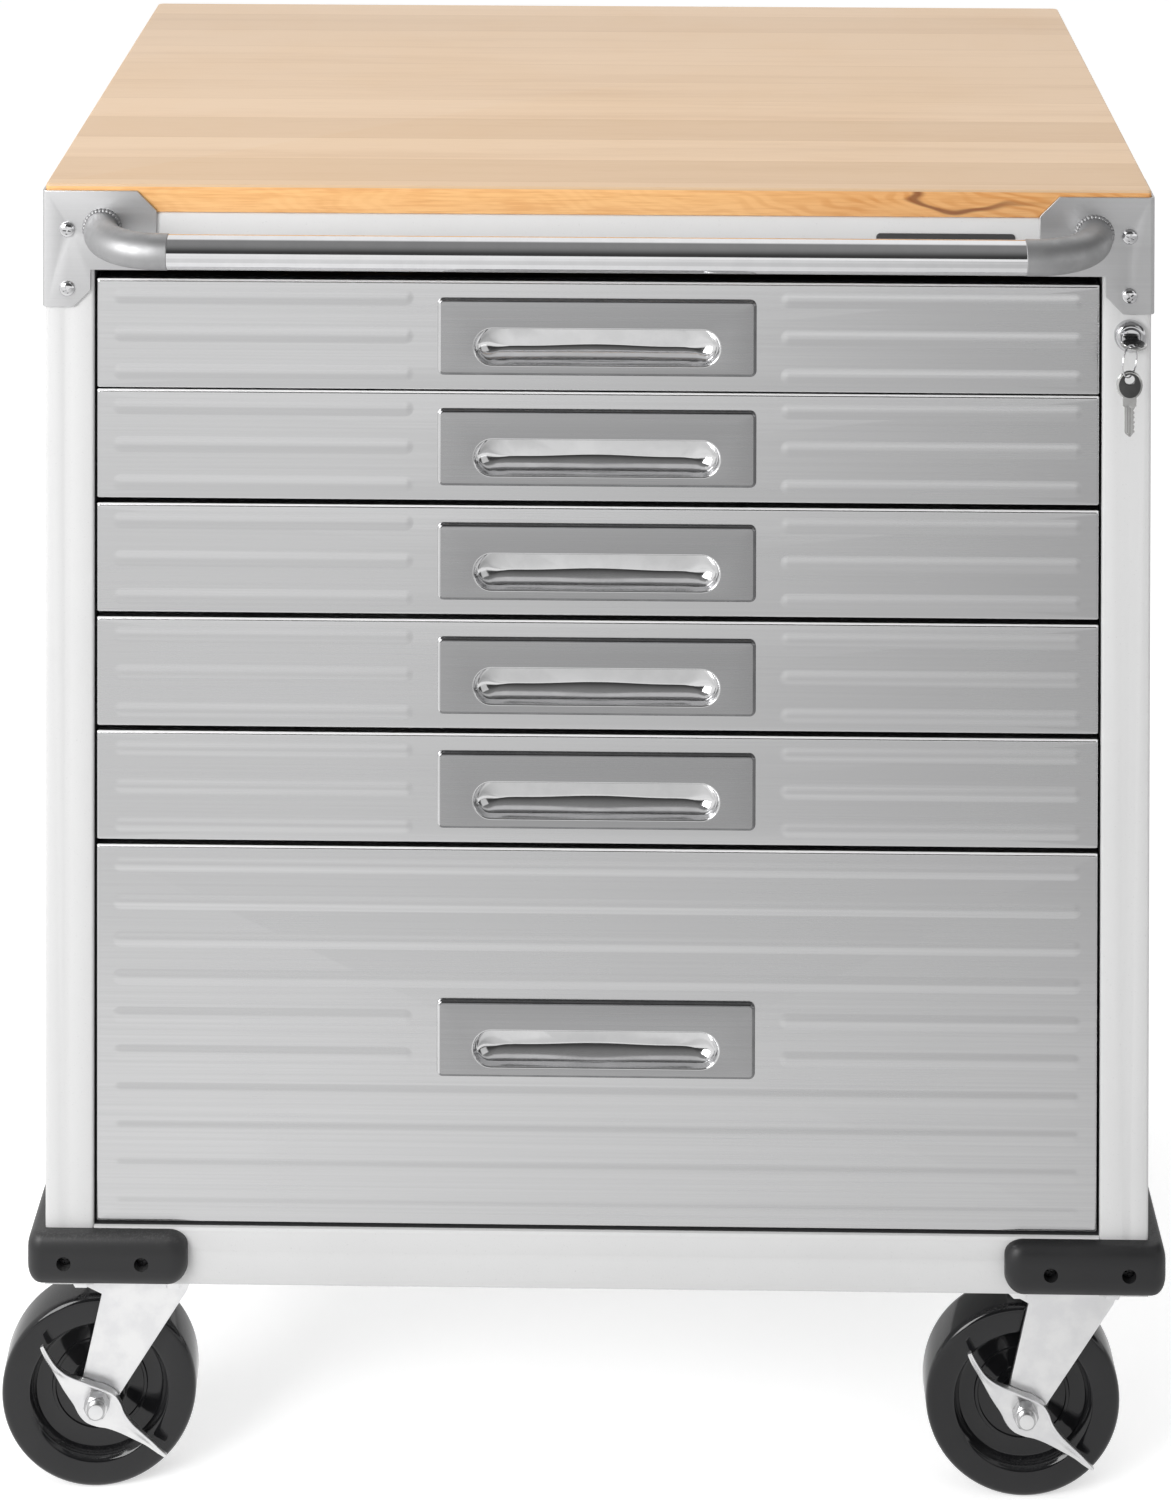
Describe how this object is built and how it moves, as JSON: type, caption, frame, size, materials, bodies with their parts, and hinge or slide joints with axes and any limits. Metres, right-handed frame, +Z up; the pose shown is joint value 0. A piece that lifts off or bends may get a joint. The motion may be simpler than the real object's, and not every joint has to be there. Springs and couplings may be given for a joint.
{
  "type": "rolling tool chest",
  "caption": "Steel drawer cabinet on casters with a wood worktop, recessed pulls, a push handle, corner bumpers and a key lock.",
  "frame": {"origin": "centre of the worktop's upper face", "axes": "+Z up, out of the worktop; -Y out of the drawer fronts; +X to the right as one faces the drawers"},
  "size_m": [0.7587, 0.5256, 0.871],
  "materials": {
    "case_paint": "light silver-grey powder coat, slightly speckled, satin",
    "worktop_wood": "glued pale staves, oiled, satin",
    "front_steel": "stainless, brushed along the drawer",
    "pull_steel": "darker brushed steel with a polished cup",
    "box_paint": "black powder coat, satin",
    "bracket_steel": "satin stainless",
    "elbow_steel": "satin stainless",
    "tube_chrome": "polished",
    "screw_chrome": "polished",
    "bumper_plastic": "black moulded plastic, satin",
    "lock_chrome": "polished",
    "key_steel": "nickel-plated",
    "slide_zinc": "bright zinc plate",
    "caster_zinc": "bright zinc plate",
    "wheel_black": "black moulded polymer, semi-gloss"
  },
  "bodies": {
    "cabinet": {"worktop": "worktop_wood", "side_panel_left": "case_paint", "side_panel_right": "case_paint", "back_panel": "case_paint", "base_pan": "case_paint", "top_rail": "case_paint", "cabinet_rails": "slide_zinc", "handle_brackets": "bracket_steel", "handle_elbows": "elbow_steel", "handle_tube": "tube_chrome", "trim_screws": "screw_chrome", "corner_bumpers": "bumper_plastic", "lock_housing": "lock_chrome", "swivel_plates": "caster_zinc", "rigid_forks": "caster_zinc", "caster_fasteners": "caster_zinc"},
    "drawer_1": {"drawer_1_front": "front_steel", "drawer_1_box": "box_paint", "drawer_1_pull": "pull_steel", "drawer_1_runners": "slide_zinc"},
    "carriage_1": {"drawer_1_carriages": "slide_zinc"},
    "drawer_2": {"drawer_2_front": "front_steel", "drawer_2_box": "box_paint", "drawer_2_pull": "pull_steel", "drawer_2_runners": "slide_zinc"},
    "carriage_2": {"drawer_2_carriages": "slide_zinc"},
    "drawer_3": {"drawer_3_front": "front_steel", "drawer_3_box": "box_paint", "drawer_3_pull": "pull_steel", "drawer_3_runners": "slide_zinc"},
    "carriage_3": {"drawer_3_carriages": "slide_zinc"},
    "drawer_4": {"drawer_4_front": "front_steel", "drawer_4_box": "box_paint", "drawer_4_pull": "pull_steel", "drawer_4_runners": "slide_zinc"},
    "carriage_4": {"drawer_4_carriages": "slide_zinc"},
    "drawer_5": {"drawer_5_front": "front_steel", "drawer_5_box": "box_paint", "drawer_5_pull": "pull_steel", "drawer_5_runners": "slide_zinc"},
    "carriage_5": {"drawer_5_carriages": "slide_zinc"},
    "drawer_6": {"drawer_6_front": "front_steel", "drawer_6_box": "box_paint", "drawer_6_pull": "pull_steel", "drawer_6_runners": "slide_zinc"},
    "carriage_6": {"drawer_6_carriages": "slide_zinc"},
    "lock_plug": {"lock_plug": "lock_chrome", "lock_key": "key_steel"},
    "lock_bar": {"lock_bar": "slide_zinc"},
    "spare_key": {"spare_key": "key_steel"},
    "front_fork_left": {"fork_front_left": "caster_zinc", "axle_front_left": "caster_zinc"},
    "front_wheel_left": {"wheel_front_left": "wheel_black"},
    "brake_left": {"brake_front_left": "caster_zinc"},
    "rear_wheel_left": {"wheel_rear_left": "wheel_black"},
    "front_fork_right": {"fork_front_right": "caster_zinc", "axle_front_right": "caster_zinc"},
    "front_wheel_right": {"wheel_front_right": "wheel_black"},
    "brake_right": {"brake_front_right": "caster_zinc"},
    "rear_wheel_right": {"wheel_rear_right": "wheel_black"}
  },
  "joints": [
    {"name": "drawer_1_slide", "type": "slide", "parent": "cabinet", "child": "drawer_1", "axis": [0, -1, 0], "range_m": [0, 0.37]},
    {"name": "carriage_1_slide", "type": "slide", "parent": "cabinet", "child": "carriage_1", "axis": [0, -1, 0], "range_m": [0, 0.185]},
    {"name": "drawer_2_slide", "type": "slide", "parent": "cabinet", "child": "drawer_2", "axis": [0, -1, 0], "range_m": [0, 0.37]},
    {"name": "carriage_2_slide", "type": "slide", "parent": "cabinet", "child": "carriage_2", "axis": [0, -1, 0], "range_m": [0, 0.185]},
    {"name": "drawer_3_slide", "type": "slide", "parent": "cabinet", "child": "drawer_3", "axis": [0, -1, 0], "range_m": [0, 0.37]},
    {"name": "carriage_3_slide", "type": "slide", "parent": "cabinet", "child": "carriage_3", "axis": [0, -1, 0], "range_m": [0, 0.185]},
    {"name": "drawer_4_slide", "type": "slide", "parent": "cabinet", "child": "drawer_4", "axis": [0, -1, 0], "range_m": [0, 0.37]},
    {"name": "carriage_4_slide", "type": "slide", "parent": "cabinet", "child": "carriage_4", "axis": [0, -1, 0], "range_m": [0, 0.185]},
    {"name": "drawer_5_slide", "type": "slide", "parent": "cabinet", "child": "drawer_5", "axis": [0, -1, 0], "range_m": [0, 0.37]},
    {"name": "carriage_5_slide", "type": "slide", "parent": "cabinet", "child": "carriage_5", "axis": [0, -1, 0], "range_m": [0, 0.185]},
    {"name": "drawer_6_slide", "type": "slide", "parent": "cabinet", "child": "drawer_6", "axis": [0, -1, 0], "range_m": [0, 0.37]},
    {"name": "carriage_6_slide", "type": "slide", "parent": "cabinet", "child": "carriage_6", "axis": [0, -1, 0], "range_m": [0, 0.185]},
    {"name": "lock_turn", "type": "hinge", "parent": "cabinet", "child": "lock_plug", "pos_m": [0.3415, -0.2285, -0.093], "axis": [0, 1, 0], "range_deg": [-90, 0]},
    {"name": "lock_bar_lift", "type": "slide", "parent": "cabinet", "child": "lock_bar", "axis": [0, 0, 1], "range_m": [0, 0.009]},
    {"name": "spare_key_swing", "type": "hinge", "parent": "lock_plug", "child": "spare_key", "pos_m": [0.3374, -0.25455, -0.11], "axis": [0, 1, 0], "range_deg": [0, 90]},
    {"name": "front_swivel_left", "type": "hinge", "parent": "cabinet", "child": "front_fork_left", "pos_m": [-0.304, -0.1765, -0.721], "axis": [0, 0, 1], "continuous": true},
    {"name": "front_roll_left", "type": "hinge", "parent": "front_fork_left", "child": "front_wheel_left", "pos_m": [-0.32794, -0.17817, -0.8075], "axis": [-0.0698, 0.9976, 0], "continuous": true},
    {"name": "brake_press_left", "type": "hinge", "parent": "front_fork_left", "child": "brake_left", "pos_m": [-0.32794, -0.17817, -0.8075], "axis": [-0.0698, 0.9976, 0], "range_deg": [0, 16]},
    {"name": "rear_roll_left", "type": "hinge", "parent": "cabinet", "child": "rear_wheel_left", "pos_m": [-0.304, 0.1765, -0.8075], "axis": [1, 0, 0], "continuous": true},
    {"name": "front_swivel_right", "type": "hinge", "parent": "cabinet", "child": "front_fork_right", "pos_m": [0.304, -0.1765, -0.721], "axis": [0, 0, 1], "continuous": true},
    {"name": "front_roll_right", "type": "hinge", "parent": "front_fork_right", "child": "front_wheel_right", "pos_m": [0.28, -0.1765, -0.8075], "axis": [0, 1, 0], "continuous": true},
    {"name": "brake_press_right", "type": "hinge", "parent": "front_fork_right", "child": "brake_right", "pos_m": [0.28, -0.1765, -0.8075], "axis": [0, 1, 0], "range_deg": [0, 16]},
    {"name": "rear_roll_right", "type": "hinge", "parent": "cabinet", "child": "rear_wheel_right", "pos_m": [0.304, 0.1765, -0.8075], "axis": [1, 0, 0], "continuous": true}
  ],
  "couplings": [
    {"joint": "carriage_1_slide", "follows": "drawer_1_slide", "ratio": 0.5},
    {"joint": "carriage_2_slide", "follows": "drawer_2_slide", "ratio": 0.5},
    {"joint": "carriage_3_slide", "follows": "drawer_3_slide", "ratio": 0.5},
    {"joint": "carriage_4_slide", "follows": "drawer_4_slide", "ratio": 0.5},
    {"joint": "carriage_5_slide", "follows": "drawer_5_slide", "ratio": 0.5},
    {"joint": "carriage_6_slide", "follows": "drawer_6_slide", "ratio": 0.5},
    {"joint": "lock_turn", "follows": "lock_bar_lift", "rad_per_m": -174.53},
    {"joint": "spare_key_swing", "follows": "lock_bar_lift", "rad_per_m": 174.53}
  ]
}
